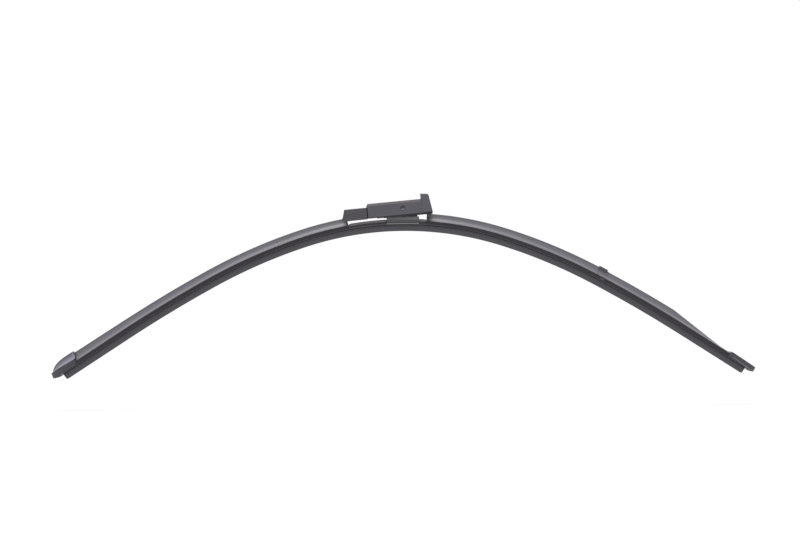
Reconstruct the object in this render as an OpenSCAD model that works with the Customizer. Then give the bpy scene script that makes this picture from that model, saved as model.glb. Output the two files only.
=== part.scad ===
// Flat beam wiper blade, 650 mm, held by a hinged adapter that slides into the wiper arm.
// The frame is the blade's own: +X runs along the blade, +Z points away from the glass and
// the concave face of the spoiler looks towards -Y. The origin is on the hinge pin's axis.
// Stations are lengths along the bent rails, counted from below the pin towards each end.
// Heights in the section are measured from the wiping edge of the rubber.

/* [Beam] */
// Length of the wiping rubber, along the rails
blade_len = 650; // [560:5:720]
// Height of the hinge pin above the middle of the rails
pivot_h = 12.2; // [11.8:0.1:13.5]
// Radius of the rails in the middle stretch
bend_1_r = 281; // [220:1:400]
// Turn of the middle stretch, on each side
bend_1_turn = 17.8; // [10:0.1:20]
// Radius of the rails in the second stretch
bend_2_r = 468; // [350:1:700]
// Turn of the second stretch
bend_2_turn = 10.5; // [4:0.1:12]
// Radius of the rails in the third stretch
bend_3_r = 1124; // [800:1:1500]
// Turn of the third stretch
bend_3_turn = 4.4; // [1:0.1:5]
// Radius of the end stretch, which is all but straight
end_r = 20000; // [5000:1000:50000]

/* [Rubber] */
// Thickness of the lip at its wiping edge
lip_edge_t = 0.7; // [0.5:0.05:1]
// Thickness of the lip at its root
lip_root_t = 1.2; // [1:0.05:1.6]
// Height of the lip
lip_h = 3.2; // [2.5:0.1:3.4]
// Width of the shoulders that stop the lip from folding flat
shoulder_w = 3.4; // [2.6:0.1:4.2]
// Height of the top of the shoulders
shoulder_h = 4.6; // [4.3:0.1:4.8]
// Thickness of the shoulders' outer edge
shoulder_rim_t = 0.5; // [0.3:0.05:0.8]
// Thickness of the thin web on which the lip tips over
web_t = 0.8; // [0.6:0.05:1.2]
// Height of the underside of the backing that holds the rails
backing_low_h = 5.4; // [5.2:0.1:5.6]
// Height of the top of the backing
backing_top_h = 9.2; // [8.8:0.1:9.4]
// Width of the backing
backing_w = 5.8; // [5:0.1:6.2]
// Bevel along the top of the backing
backing_bevel = 0.5; // [0.2:0.05:0.8]
// Thickness of the core left between the two rail grooves
core_t = 1.9; // [1.4:0.1:2.4]

/* [Rails] */
// Height of the middle of the rails above the wiping edge
rail_h = 7; // [6.9:0.1:7.2]
// Thickness of a rail
rail_t = 0.9; // [0.7:0.05:1.1]
// Width of a rail
rail_w = 3.4; // [3:0.1:3.6]
// Length of a rail past the end of the rubber
rail_past = 3; // [1:0.5:5]

/* [Spoiler] */
// Height of the spoiler's crest above the wiping edge
crest_h = 14.8; // [13.5:0.1:15]
// Radius of the rounded crest
crest_r = 0.75; // [0.5:0.05:1]
// Distance of the crest behind the middle of the blade
crest_y = 1.1; // [0:0.1:1.6]
// Radius of the concave front face
front_scoop_r = 7; // [6.4:0.1:12]
// Radius of the concave rear face
rear_scoop_r = 10; // [8:0.1:20]
// Width of the spoiler's foot over its two toes
foot_w = 11.8; // [11.4:0.1:12]
// Height of the top edge of the toes
toe_top_h = 8.6; // [8.4:0.1:8.9]
// Thickness of a toe's edge
toe_t = 0.4; // [0.2:0.05:0.6]
// Width over the underside of the claws that hold the rails
claw_w = 10.4; // [10:0.1:11]
// Height of the underside of the claws
claw_low_h = 5.9; // [5.8:0.1:6]
// Station where the left spoiler starts
spoiler_left_start = 47; // [40:0.5:60]
// Station where the right spoiler starts
spoiler_right_start = 20.8; // [18:0.1:30]
// Station where the right spoiler begins to taper
taper_start = 246.8; // [200:0.1:260]
// Fall of the tapered crest per millimetre
taper_fall = 0.109; // [0.09:0.001:0.13]
// Height at which the taper ends, just over the rubber's backing
taper_end_h = 9.7; // [9.6:0.1:10.5]

/* [Rail clip] */
// Station of the rail clip's inner end
clip_start = 173.2; // [150:0.1:200]
// Length of the rail clip
clip_len = 9.4; // [8:0.1:14]
// Length of the block on top of the clip
clip_block_len = 7; // [5:0.1:8]
// Height of the block's top above the wiping edge
clip_block_h = 15.9; // [15.4:0.1:17]
// Height of the block's underside above the wiping edge
clip_block_low_h = 13.4; // [12.8:0.1:13.6]
// Width of the block
clip_block_w = 5; // [4:0.1:6]
// Distance of the block from the clip's inner end
clip_block_from = 0.4; // [0:0.1:1]
// Rounding of the block's upper corners
clip_block_r = 0.8; // [0.4:0.1:1]
// Length of the catches under the toes
catch_len = 5.2; // [4:0.1:6]
// Height of a catch
catch_h = 2; // [1.5:0.1:2.2]
// Amount by which the catches stand out from the claws
catch_out = 0.45; // [0.2:0.05:0.6]

/* [End caps] */
// Length of the rails that a cap covers, up to the rubber's end
cap_cover = 18.6; // [15:0.1:22]
// Wall of the end caps over the spoiler's outline
cap_wall = 0.45; // [0.3:0.05:0.6]
// Length of the heel cap's crown
crown_len = 25.6; // [24:0.1:30]
// Length of the straight part of the crown's top
crown_flat = 8.6; // [5:0.1:12]
// Height to which the crown's top line falls at its end
crown_end_h = 9.7; // [9.5:0.1:10]
// Length of the heel cap's lower body
heel_len = 28.2; // [27:0.1:32]
// Height of the heel body's upper front edge
heel_nose_h = 9.8; // [9.6:0.1:10]
// Height of the heel body's lower front edge
heel_chin_h = 6.8; // [6:0.1:7.5]
// Height of the underside of both caps behind the rubber's end
cap_low_h = 4.8; // [4.5:0.1:5.2]
// Gap between the rubber's end and the step down to that underside
chin_gap = 1; // [0.5:0.1:2]
// Run of that step along the blade
chin_run = 1; // [0.5:0.1:2]
// Length of the level underside
chin_len = 2; // [1:0.1:3]
// Distance by which the body's top edge stops inside the crown's end
brow_in = 1; // [0.5:0.1:2]
// Height of the seam between the crown and the body of the heel cap
crown_low_h = 10.5; // [10.2:0.1:10.8]
// Length over which the crown narrows in plan
crown_round = 16; // [10:0.5:20]
// Length over which the heel cap's body narrows in plan
heel_round = 9; // [6:0.5:12]
// Length over which the tip cap narrows in plan
tip_round = 6; // [4:0.5:9]
// Width of the caps' bodies
cap_w = 12.8; // [12.6:0.1:13.6]
// Length of the tip cap
tip_len = 26.2; // [25:0.1:30]
// Height of the tip cap's top where it starts
tip_start_h = 10.8; // [10.4:0.1:11.4]
// Height of the tip cap's top at its end
tip_end_h = 10.2; // [10:0.1:10.4]
// Bevel on the tip cap's upper front edge
tip_bevel = 0.7; // [0.4:0.1:1]
// Height of the tip cap's lower front edge
tip_chin_h = 6.2; // [5.8:0.1:7]
// Height of the lower edge of the caps' side walls
cap_side_h = 5.9; // [5.6:0.1:6.2]

/* [Saddle] */
// Length of the saddle that grips the rails
saddle_len = 26.4; // [22:0.1:30]
// Width of the saddle's block
saddle_w = 12; // [11.6:0.1:12.4]
// Height of the saddle block's top above the wiping edge
saddle_top_h = 11.7; // [11.2:0.1:11.8]
// Width over the ledges along the saddle's lower edges
ledge_w = 13.4; // [12.6:0.1:14]
// Thickness of the ledges
ledge_t = 0.9; // [0.7:0.1:1.2]
// Height of the ledges' underside above the wiping edge
ledge_low_h = 5.5; // [5.4:0.1:5.8]
// Width of the saddle's neck between the adapter's walls
neck_w = 10.4; // [8:0.1:11]
// Length of the saddle's neck
neck_len = 25; // [20:0.1:26]
// Depth of the neck's top below the pin's axis
neck_drop = 3.6; // [3.2:0.1:4.2]
// Width of the ear that holds the pin
ear_w = 6; // [4:0.1:7]
// Radius of the ear's round top
ear_r = 4.2; // [3:0.1:4.4]
// Length of the ear at its foot
ear_foot = 14; // [9:0.1:18]

/* [Hinge pin] */
// Radius of the hinge pin
pin_r = 1.7; // [1.2:0.05:2.2]
// Depth of the pin's ends inside the adapter's walls
pin_recess = 0.7; // [0.3:0.1:1.2]
// Chamfer on the pin's ends
pin_chamfer = 0.3; // [0.1:0.05:0.5]

/* [Adapter] */
// Tilt of the adapter as it rests, its tall end up
adapter_tilt = 5; // [3:0.1:7]
// Length of the box from the pin to its low end
box_back = 30.2; // [27:0.1:34]
// Length of the box from the pin to the tail's step
box_front = 16; // [14:0.1:17]
// Height of the box above the pin
box_top = 6.35; // [6:0.05:7.5]
// Depth of the box below the pin
box_low = 6.1; // [5.5:0.05:6.3]
// Width of the box
box_w = 17; // [16.8:0.1:19]
// Wall of the box
box_wall = 1.8; // [1.4:0.05:1.9]
// Height of the bevel along the box's top edges
box_bevel = 1.5; // [0.8:0.1:2]
// Width of the tail, which ends flush with the arm
tail_w = 19; // [18:0.1:21]
// Reach of the tail's lowest corner from the pin
tail_reach = 25.2; // [24:0.1:28]
// Height of the tail's top above the pin at the step
tail_top = 10.9; // [9:0.1:12]
// Length of the tail's top face
tail_top_len = 6.3; // [5:0.1:7]
// Slope of the tail's top face
tail_top_slope = 5.5; // [0:0.5:8]
// Rounding of the tail's outer top corner
tail_corner_r = 1.6; // [1:0.1:2.5]
// Height of the tail's upright edge at its lowest corner
tail_heel_h = 1.2; // [0.8:0.1:2]
// Bevel round the tail's side faces
tail_bevel = 1; // [0.5:0.1:1.4]
// Wall of the tail
tail_wall = 1.8; // [1.5:0.1:2.2]
// Width of the slots that let the spoiler's crest pass
crest_slot_w = 5.4; // [5:0.1:7]
// Height of the tail's slot above its lower edge
tail_slot_h = 5; // [4.5:0.1:6]
// Wall of the bosses round the pin's bores
boss_wall = 1.6; // [1.2:0.1:2]

/* [Adapter nose] */
// Length of the nose at its lower edge
nose_len = 22.1; // [20:0.1:24]
// Lean of the nose's front face, measured along the nose
nose_lean = 2.9; // [1:0.1:5]
// Height of the nose above the pin
nose_top = 2.8; // [2:0.1:4]
// Depth of the nose below the pin
nose_low = 6.5; // [6.2:0.1:6.8]
// Wall of the nose
nose_wall = 1.3; // [1:0.05:1.6]
// Clearance between the nose and the spoiler's foot on each side
nose_clear = 0.4; // [0.3:0.05:0.6]
// Gap between the nose and the box
nose_gap = 0.8; // [0.5:0.1:1.2]
// Length of the nose's tongue inside the box
tongue_len = 10; // [6:0.1:12]
// Height of the tongue's lower edge above the nose's
tongue_up = 2; // [1:0.1:3]
// Height of the slot for the crest in the nose's front, above its lower edge
nose_slot_h = 6.9; // [6:0.1:7]
// Height of the nose's front wall above its lower edge
nose_front_h = 3.3; // [3:0.1:4]
// Number of grip grooves on each side of the nose
groove_count = 5; // [3:1:6]
// Width of a grip groove
groove_w = 0.5; // [0.3:0.05:0.7]
// Depth of a grip groove
groove_d = 0.3; // [0.15:0.05:0.4]

/* [Fits] */
// Clearance between moulded parts that slide on each other
slip = 0.05; // [0.03:0.01:0.1]
// Clearance between the ends of neighbouring spoiler parts
seam = 0.3; // [0.1:0.05:0.5]
// Radial clearance of the hinge pin in the adapter
pin_clear = 0.05; // [0.03:0.01:0.09]
// Clearance between the saddle's ear and the adapter's bosses on each side
boss_clear = 0.15; // [0.1:0.05:0.3]

/* [Hidden] */
$fn = 96;
overlap = 0.5; // by which joined shapes run into each other
past = 1; // by which a cut runs past the face that it opens
hair = 2e-8; // by which each arc of a sweep is set into the one before, so that they always join

bend_r = [bend_1_r, bend_2_r, bend_3_r, end_r];
bend_turn = [bend_1_turn, bend_2_turn, bend_3_turn];
last_arc = len(bend_turn);
half_len = blade_len / 2;
rail_end = half_len + rail_past;
slot_t = rail_t + 2 * slip;
rail_out = core_t / 2 + rail_w;
cap_start = half_len - cap_cover;
box_in = box_w / 2 - box_wall;
nose_in = foot_w / 2 + nose_clear;
nose_half = nose_in + nose_wall;

// The path of the rails, as a chain of arcs that meet without a kink

function arc_len(i) = bend_r[i] * bend_turn[i] * PI / 180;
function arc_from(i) = i == 0 ? 0 : arc_from(i - 1) + arc_len(i - 1);
function turn_from(i) = i == 0 ? 0 : turn_from(i - 1) + bend_turn[i - 1];
function outward(turn) = [sin(turn), cos(turn)];
function point_from(i) = i == 0 ? [0, -pivot_h] : arc_centre(i - 1) + bend_r[i - 1] * outward(turn_from(i));
function arc_centre(i) = point_from(i) - bend_r[i] * outward(turn_from(i));
function arc_at(s, i = 0) = i == last_arc || s < arc_from(i + 1) ? i : arc_at(s, i + 1);
function turn_on(i, s) = turn_from(i) + (s - arc_from(i)) / bend_r[i] * 180 / PI;
function turn_at(s) = turn_on(arc_at(s), s);
function point_at(s) = arc_centre(arc_at(s)) + bend_r[arc_at(s)] * outward(turn_at(s));

// Moves by whole millimetres, then thousandths, then the rest, so that the arcs meet exactly
module shift(place) {
    whole = [floor(place[0]), floor(place[1])];
    part = place - whole;
    fine = [floor(part[0] * 1000) / 1000, floor(part[1] * 1000) / 1000];
    rest = part - fine;
    translate([whole[0], 0, whole[1]]) translate([fine[0], 0, fine[1]]) translate([rest[0], 0, rest[1]])
        children();
}

// Carries a section along one arc of the right half, from turn a to turn b.
// The sweep starts at the end where the next arc joins it, so that this end is exact.
module along_arc(i, a, b, joined_at_b) {
    translate([-(i + 1) * hair, 0, 0]) shift(arc_centre(i)) rotate([90, 0, 0])
        rotate_extrude(angle = joined_at_b ? b - a : a - b, start = 90 - (joined_at_b ? b : a), $fn = 360)
            translate([bend_r[i], 0]) rotate(-90) children();
}

// Places children at a station of the right half, x onward and z outward
module at_station(s) {
    shift(point_at(s)) rotate([0, turn_at(s), 0]) children();
}

// Carries a section along x
module along_x(from, to) {
    translate([from, 0, 0]) rotate([90, 0, 90]) linear_extrude(to - from) children();
}

// Carries a section along the right half of the rails between two stations.
// The section is drawn with x across the blade and y up from the middle of the rails.
module sweep(from, to) {
    for (i = [0:last_arc]) {
        a = max(from, arc_from(i));
        joined = i < last_arc && to > arc_from(i + 1);
        b = joined ? arc_from(i + 1) : to;
        if (b > a)
            along_arc(i, turn_on(i, a), turn_on(i, b), joined) children();
    }
}

module left_side() {
    mirror([1, 0, 0]) children();
}

// The same section from the left end to the right end
module sweep_both(to) {
    sweep(0, to) children();
    left_side() sweep(0, to) children();
}

// Draws a section whose heights are measured from the wiping edge
module from_edge() {
    translate([0, -rail_h]) children();
}

// Rubber, with its lip, shoulders, thin web and grooved backing

module rubber_section() {
    half = [
        [lip_edge_t / 2, 0],
        [lip_root_t / 2, lip_h],
        [shoulder_w / 2, shoulder_h - shoulder_rim_t],
        [shoulder_w / 2, shoulder_h],
        [web_t / 2, shoulder_h],
        [web_t / 2, backing_low_h],
        [backing_w / 2, backing_low_h],
        [backing_w / 2, rail_h - slot_t / 2],
        [core_t / 2, rail_h - slot_t / 2],
        [core_t / 2, rail_h + slot_t / 2],
        [backing_w / 2, rail_h + slot_t / 2],
        [backing_w / 2, backing_top_h - backing_bevel],
        [backing_w / 2 - backing_bevel, backing_top_h]
    ];
    last = len(half) - 1;
    polygon(concat(half, [for (i = [0:last]) [-half[last - i][0], half[last - i][1]]]));
}

module wiper_rubber() {
    color([0.13, 0.13, 0.13]) sweep_both(half_len) from_edge() rubber_section();
}

// Spring steel rails

module rail(side) {
    color([0.25, 0.26, 0.27]) sweep_both(rail_end)
        translate([side * (core_t + rail_w) / 2 + side * slip, 0]) square([rail_w - slip, rail_t], center = true);
}

module rail_front() {
    rail(-1);
}

module rail_rear() {
    rail(1);
}

// Spoiler section: two scoops that run from the toes into the rounded crest

// Centre of a circle of radius r through the toe that just touches the crest from outside
function scoop_centre(toe, crest, r, side) =
    let (
        d = crest - toe,
        gap = norm(d),
        reach = (r * r - (r + crest_r) * (r + crest_r) + gap * gap) / (2 * gap),
        off = sqrt(r * r - reach * reach)
    )
    toe + reach * d / gap + side * off * [-d[1], d[0]] / gap;

module spoiler_outline() {
    crest = [crest_y, crest_h - crest_r];
    front_toe = [-foot_w / 2, toe_top_h];
    rear_toe = [foot_w / 2, toe_top_h];
    front = scoop_centre(front_toe, crest, front_scoop_r, 1);
    rear = scoop_centre(rear_toe, crest, rear_scoop_r, -1);
    front_touch = crest + crest_r * (front - crest) / norm(front - crest);
    rear_touch = crest + crest_r * (rear - crest) / norm(rear - crest);
    difference() {
        polygon([
            [-claw_w / 2, claw_low_h],
            [-foot_w / 2, toe_top_h - toe_t],
            front_toe,
            front_touch,
            crest,
            rear_touch,
            rear_toe,
            [foot_w / 2, toe_top_h - toe_t],
            [claw_w / 2, claw_low_h]
        ]);
        translate(front) circle(front_scoop_r, $fn = 180);
        translate(rear) circle(rear_scoop_r, $fn = 180);
    }
    translate(crest) circle(crest_r);
}

// The channel that the rails and the rubber's backing fill, open towards the glass
module beam_channel(low_h) {
    translate([-rail_out - 2 * slip, rail_h - slot_t / 2]) square([2 * rail_out + 4 * slip, slot_t]);
    translate([-backing_w / 2 - 2 * slip, low_h - past])
        square([backing_w + 4 * slip, backing_top_h + slip - low_h + past]);
}

module spoiler_section() {
    difference() {
        spoiler_outline();
        beam_channel(claw_low_h);
    }
}

module spoiler_left() {
    color([0.2, 0.2, 0.21]) left_side() sweep(spoiler_left_start, cap_start - seam) from_edge() spoiler_section();
}

module spoiler_middle() {
    color([0.2, 0.2, 0.21]) sweep(spoiler_right_start, clip_start - seam) from_edge() spoiler_section();
}

// The outer length falls in a straight line towards the tip cap
module spoiler_tapered() {
    tall = crest_h;
    taper_len = 2 * (cap_start - taper_start);
    color([0.2, 0.2, 0.21]) difference() {
        sweep(clip_start + clip_len + seam, cap_start - seam) from_edge() spoiler_section();
        at_station(cap_start) intersection() {
            translate([taper_start - cap_start, 0, crest_h - rail_h])
                rotate([0, atan(taper_fall), 0])
                    translate([0, -tall, 0]) cube([taper_len, 2 * tall, tall]);
            translate([-taper_len, -tall, taper_end_h - rail_h]) cube([2 * taper_len, 2 * tall, tall]);
        }
    }
}

// Clip that keeps the two rails at their distance, between two lengths of spoiler

module rail_clip() {
    color([0.17, 0.17, 0.18]) {
        sweep(clip_start, clip_start + clip_len) from_edge() spoiler_section();
        at_station(clip_start + clip_len / 2) {
            translate([clip_block_from - clip_len / 2, crest_y, 0]) clip_block();
            for (side = [-1, 1])
                translate([clip_len / 2 - catch_len, side * claw_w / 2, claw_low_h - rail_h])
                    rail_catch(side);
        }
    }
}

// Block on the crest, with rounded upper corners
module clip_block() {
    low = clip_block_low_h - rail_h;
    high = clip_block_h - rail_h;
    r = clip_block_r;
    translate([0, -clip_block_w / 2, 0]) rotate([90, 0, 0]) mirror([0, 0, 1])
        linear_extrude(clip_block_w) {
            translate([0, low]) square([clip_block_len, high - r - low]);
            translate([r, high - r]) square([clip_block_len - 2 * r, r]);
            for (x = [r, clip_block_len - r])
                translate([x, high - r]) circle(r, $fn = 48);
        }
}

// Catch below a toe
module rail_catch(side) {
    translate([0, side > 0 ? -overlap : -catch_out, 0]) cube([catch_len, overlap + catch_out, catch_h]);
}

// End caps, pushed over the rails' ends

// Side views of the caps: x runs along the blade from the cap's start, y up from the wiping edge

// Crown of the heel cap: level at first, then a quarter of an ellipse
module crown_outline() {
    fall_len = crown_len - crown_flat;
    fall = crest_h + cap_wall - crown_end_h;
    polygon(concat(
        [[0, crown_end_h], [0, crown_end_h + fall]],
        [for (a = [90:-7.5:0]) [crown_flat + fall_len * cos(a), crown_end_h + fall * sin(a)]]
    ));
}

// Lower edge of both caps, from the step behind the rubber's end
function cap_underside() = [
    [cap_cover + chin_gap + chin_run + chin_len, cap_low_h],
    [cap_cover + chin_gap + chin_run, cap_low_h],
    [cap_cover + chin_gap, cap_side_h],
    [0, cap_side_h]
];

module heel_body_outline() {
    polygon(concat(
        [
            [0, crown_low_h],
            [crown_len - brow_in, crown_low_h],
            [heel_len, heel_nose_h],
            [heel_len, heel_chin_h]
        ],
        cap_underside()
    ));
}

module tip_outline() {
    r = tip_start_h - toe_top_h;
    polygon(concat(
        [for (a = [180:-15:90]) [r + r * cos(a), tip_start_h - r + r * sin(a)]],
        [
            [tip_len - tip_bevel, tip_end_h],
            [tip_len, tip_end_h - tip_bevel],
            [tip_len, tip_chin_h]
        ],
        cap_underside()
    ));
}

// Plan of a cap, its free end rounded by half an ellipse
module cap_plan(length, width, round_len) {
    polygon(concat(
        [[-overlap, -width / 2]],
        [for (a = [-90:7.5:90]) [length - round_len + round_len * cos(a), width / 2 * sin(a)]],
        [[-overlap, width / 2]]
    ));
}

// Stands a side outline up across the blade
module across(width) {
    translate([0, width / 2, -rail_h]) rotate([90, 0, 0]) linear_extrude(width) children();
}

// Space for the rails and the rubber inside a cap
module cap_pocket() {
    along_x(-past, rail_end - cap_start + slip) from_edge()
        translate([-rail_out - 2 * slip, rail_h - slot_t / 2]) square([2 * rail_out + 4 * slip, slot_t]);
    along_x(-past, half_len - cap_start + slip) from_edge()
        translate([-backing_w / 2 - 2 * slip, 0]) square([backing_w + 4 * slip, backing_top_h + slip]);
}

module heel_cap() {
    color([0.3, 0.3, 0.33]) left_side() at_station(cap_start) difference() {
        union() {
            intersection() {
                along_x(0, crown_len) from_edge() offset_outline(cap_wall);
                across(3 * foot_w) crown_outline();
                translate([0, 0, -rail_h]) linear_extrude(2 * crest_h)
                    cap_plan(crown_len + brow_in, foot_w + 2 * cap_wall, crown_round);
            }
            intersection() {
                across(cap_w) heel_body_outline();
                translate([0, 0, -rail_h]) linear_extrude(2 * crest_h) cap_plan(heel_len, cap_w, heel_round);
            }
        }
        cap_pocket();
    }
}

// The spoiler's outline, grown by a wall
module offset_outline(wall) {
    offset(r = wall, $fn = 48) spoiler_outline();
}

module tip_cap() {
    color([0.16, 0.16, 0.17]) at_station(cap_start) difference() {
        intersection() {
            across(cap_w) tip_outline();
            translate([0, 0, -rail_h]) linear_extrude(2 * crest_h) cap_plan(tip_len, cap_w, tip_round);
        }
        cap_pocket();
    }
}

// Saddle that grips the rails and carries the hinge pin

module saddle_section() {
    translate([-saddle_w / 2, ledge_low_h]) square([saddle_w, saddle_top_h - ledge_low_h]);
    translate([-ledge_w / 2, ledge_low_h]) square([ledge_w, ledge_t]);
}

module saddle() {
    floor_z = saddle_top_h - rail_h - pivot_h;
    color([0.21, 0.21, 0.22]) difference() {
        union() {
            translate([0, 0, -pivot_h]) along_x(-saddle_len / 2, saddle_len / 2) from_edge() saddle_section();
            translate([-neck_len / 2, -neck_w / 2, floor_z - overlap])
                cube([neck_len, neck_w, -neck_drop - floor_z + overlap]);
            translate([0, ear_w / 2, 0]) rotate([90, 0, 0]) linear_extrude(ear_w) ear_outline(floor_z);
        }
        sweep_both(saddle_len / 2 + past) from_edge() beam_channel(ledge_low_h);
        rotate([90, 0, 0]) cylinder(h = 2 * ear_w, r = pin_r, center = true);
    }
}

// Ear in side view, its flanks tangent to the round top
module ear_outline(floor_z) {
    foot = [ear_foot / 2, floor_z];
    swing = atan2(foot[1], foot[0]) + acos(ear_r / norm(foot));
    touch = ear_r * [cos(swing), sin(swing)];
    circle(ear_r);
    polygon([[-foot[0], foot[1]], foot, touch, [-touch[0], touch[1]]]);
}

module hinge_pin() {
    half = box_w / 2 - pin_recess;
    color([0.6, 0.6, 0.62]) rotate([90, 0, 0]) rotate_extrude()
        polygon([
            [0, -half],
            [pin_r - pin_chamfer, -half],
            [pin_r, -half + pin_chamfer],
            [pin_r, half - pin_chamfer],
            [pin_r - pin_chamfer, half],
            [0, half]
        ]);
}

// Adapter, turned on the pin to the tilt at which it rests

module adapter_frame() {
    rotate([0, -adapter_tilt, 0]) children();
}

// Carries a side view across the adapter, with its middle on the blade's
module through(width) {
    translate([0, width / 2, 0]) rotate([90, 0, 0]) linear_extrude(width) children();
}

module box_section() {
    polygon([
        [-box_w / 2, -box_low],
        [box_w / 2, -box_low],
        [box_w / 2, box_top - box_bevel],
        [box_w / 2 - box_bevel, box_top],
        [-box_w / 2 + box_bevel, box_top],
        [-box_w / 2, box_top - box_bevel]
    ]);
}

// Tail in side view, drawn smaller all round by inset
module tail_outline(inset) {
    top_end = [box_front + tail_top_len, tail_top - tail_top_len * tan(tail_top_slope)];
    corner = top_end - [tail_corner_r + inset, tail_corner_r + inset];
    hull() {
        polygon([
            [box_front + inset, -box_low + inset],
            [tail_reach - inset, -box_low + inset],
            [tail_reach - inset, -box_low + tail_heel_h],
            [box_front + inset, tail_top - inset]
        ]);
        translate(corner) circle(tail_corner_r, $fn = 32);
    }
}

module tail() {
    hull() {
        through(tail_w - 2 * tail_bevel) tail_outline(0);
        through(tail_w) tail_outline(tail_bevel);
    }
}

module adapter_body() {
    color([0.33, 0.33, 0.36]) adapter_frame() difference() {
        union() {
            difference() {
                union() {
                    along_x(-box_back, box_front + tail_wall) box_section();
                    tail();
                }
                box_hollow();
            }
            for (side = [-1, 1])
                boss(side);
        }
        rotate([90, 0, 0]) cylinder(h = 2 * box_w, r = pin_r + pin_clear, center = true);
    }
}

// The space inside the box and the tail, open towards the blade
module box_hollow() {
    translate([-box_back - past, -box_in, -box_low - past])
        cube([box_back + past + box_front + tail_wall, 2 * box_in, box_low + past + box_top - box_wall]);
    translate([box_front, 0, 0]) intersection() {
        translate([-box_front, 0, 0]) through(tail_w - 2 * tail_wall) tail_outline(tail_wall);
        translate([tail_wall, -tail_w, -2 * box_low]) cube([tail_reach, 2 * tail_w, 3 * tail_top]);
    }
    translate([box_front + tail_wall, -tail_w / 2 + tail_wall, -box_low - past])
        cube([tail_reach - box_front - 2 * tail_wall, tail_w - 2 * tail_wall, tail_wall + 2 * past]);
    translate([tail_reach - 2 * tail_wall, crest_y - crest_slot_w / 2, -box_low - past])
        cube([3 * tail_wall, crest_slot_w, tail_slot_h + past]);
}

// Boss round the bore, from the wall in to the ear
module boss(side) {
    reach = box_in + overlap - ear_w / 2 - boss_clear;
    translate([0, side * (ear_w / 2 + boss_clear), 0]) rotate([-side * 90, 0, 0])
        cylinder(h = reach, r = pin_r + boss_wall);
}

module nose_section(half, top, wall) {
    difference() {
        translate([-half, -nose_low]) square([2 * half, nose_low + top]);
        translate([-half + wall, -nose_low - past]) square([2 * (half - wall), nose_low + past + top - wall]);
    }
}

module adapter_nose() {
    start = -box_back - nose_gap;
    front = start - nose_len;
    tongue_top = box_top - box_wall;
    color([0.27, 0.27, 0.29]) adapter_frame() difference() {
        union() {
            intersection() {
                along_x(front, start) nose_section(nose_half, nose_top, nose_wall);
                nose_lean_cut(front, start);
            }
            intersection() {
                translate([front, -nose_half, -nose_low]) cube([nose_wall + nose_lean, 2 * nose_half, nose_low + nose_top]);
                nose_lean_cut(front, start);
            }
            nose_tongue(start, tongue_top);
        }
        translate([front - past, crest_y - crest_slot_w / 2, -nose_low - past])
            cube([nose_wall + nose_lean + 2 * past, crest_slot_w, nose_slot_h + past]);
        translate([front - past, -nose_in, -nose_low - past])
            cube([nose_wall + nose_lean + 2 * past, 2 * nose_in, nose_front_h + past]);
        for (i = [1:groove_count])
            for (side = [-1, 1])
                translate([(front + start) / 2, side * nose_half, groove_z(i)])
                    cube([2 * nose_len, 2 * groove_d, groove_w], center = true);
    }
}

function groove_z(i) = -nose_low + (nose_low + nose_top) * i / (groove_count + 1);

// Side view of the nose, its front leaning back towards the top
module nose_lean_cut(front, start) {
    through(4 * nose_half) polygon([
        [front, -nose_low],
        [start, -nose_low],
        [start, nose_top],
        [front + nose_lean, nose_top]
    ]);
}

// Tongue that plugs the nose into the box
module nose_tongue(start, top) {
    half = box_in - slip;
    difference() {
        translate([start - nose_wall, -half, tongue_up - nose_low])
            cube([nose_wall + nose_gap + tongue_len, 2 * half, nose_low - tongue_up + top]);
        translate([start - nose_wall - past, -half + nose_wall, -nose_low])
            cube([nose_wall + nose_gap + tongue_len + 2 * past, 2 * (half - nose_wall), nose_low + top - nose_wall]);
        translate([start - nose_wall - past, -nose_half, nose_top])
            cube([nose_wall + past, 2 * nose_half, top]);
    }
}

wiper_rubber();
rail_front();
rail_rear();
spoiler_left();
spoiler_middle();
spoiler_tapered();
rail_clip();
heel_cap();
tip_cap();
saddle();
hinge_pin();
adapter_body();
adapter_nose();
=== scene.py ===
# %% [markdown]
# # A flat wiper blade, dressed for the camera
# This file dresses a wiper blade whose solids come from a CAD model. Each visible piece is either a surface
# worked out here with numpy, in the place of its CAD solid, or a copy of the solid with its edges rounded.
# Everything is in metres inside Blender. Real sizes are written in millimetres and turned by MM.

# %% Load the frame
import math

import bmesh
import bpy
import numpy as np
from mathutils import Matrix, Vector


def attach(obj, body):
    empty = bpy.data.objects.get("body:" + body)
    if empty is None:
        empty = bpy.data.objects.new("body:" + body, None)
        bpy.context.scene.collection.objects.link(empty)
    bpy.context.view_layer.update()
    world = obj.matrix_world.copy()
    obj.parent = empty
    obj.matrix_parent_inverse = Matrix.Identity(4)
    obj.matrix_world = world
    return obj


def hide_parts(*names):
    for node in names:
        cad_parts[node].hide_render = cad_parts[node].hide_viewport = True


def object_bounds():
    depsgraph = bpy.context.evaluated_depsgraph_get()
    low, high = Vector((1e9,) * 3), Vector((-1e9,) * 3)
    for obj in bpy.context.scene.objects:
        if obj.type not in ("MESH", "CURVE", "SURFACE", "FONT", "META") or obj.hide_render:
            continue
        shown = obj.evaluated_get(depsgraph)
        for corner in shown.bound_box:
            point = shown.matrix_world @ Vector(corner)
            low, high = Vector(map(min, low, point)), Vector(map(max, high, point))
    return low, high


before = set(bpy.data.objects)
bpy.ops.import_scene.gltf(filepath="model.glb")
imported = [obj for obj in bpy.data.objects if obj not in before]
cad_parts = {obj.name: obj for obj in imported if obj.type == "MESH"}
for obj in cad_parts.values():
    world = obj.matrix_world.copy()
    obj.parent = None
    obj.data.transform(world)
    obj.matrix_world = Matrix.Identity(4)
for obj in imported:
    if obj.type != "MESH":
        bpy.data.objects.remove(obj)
cad_low, cad_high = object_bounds()
MM = 0.001
print("CAD box, mm:", [round(v / MM, 1) for v in (*cad_low, *cad_high)])

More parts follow.
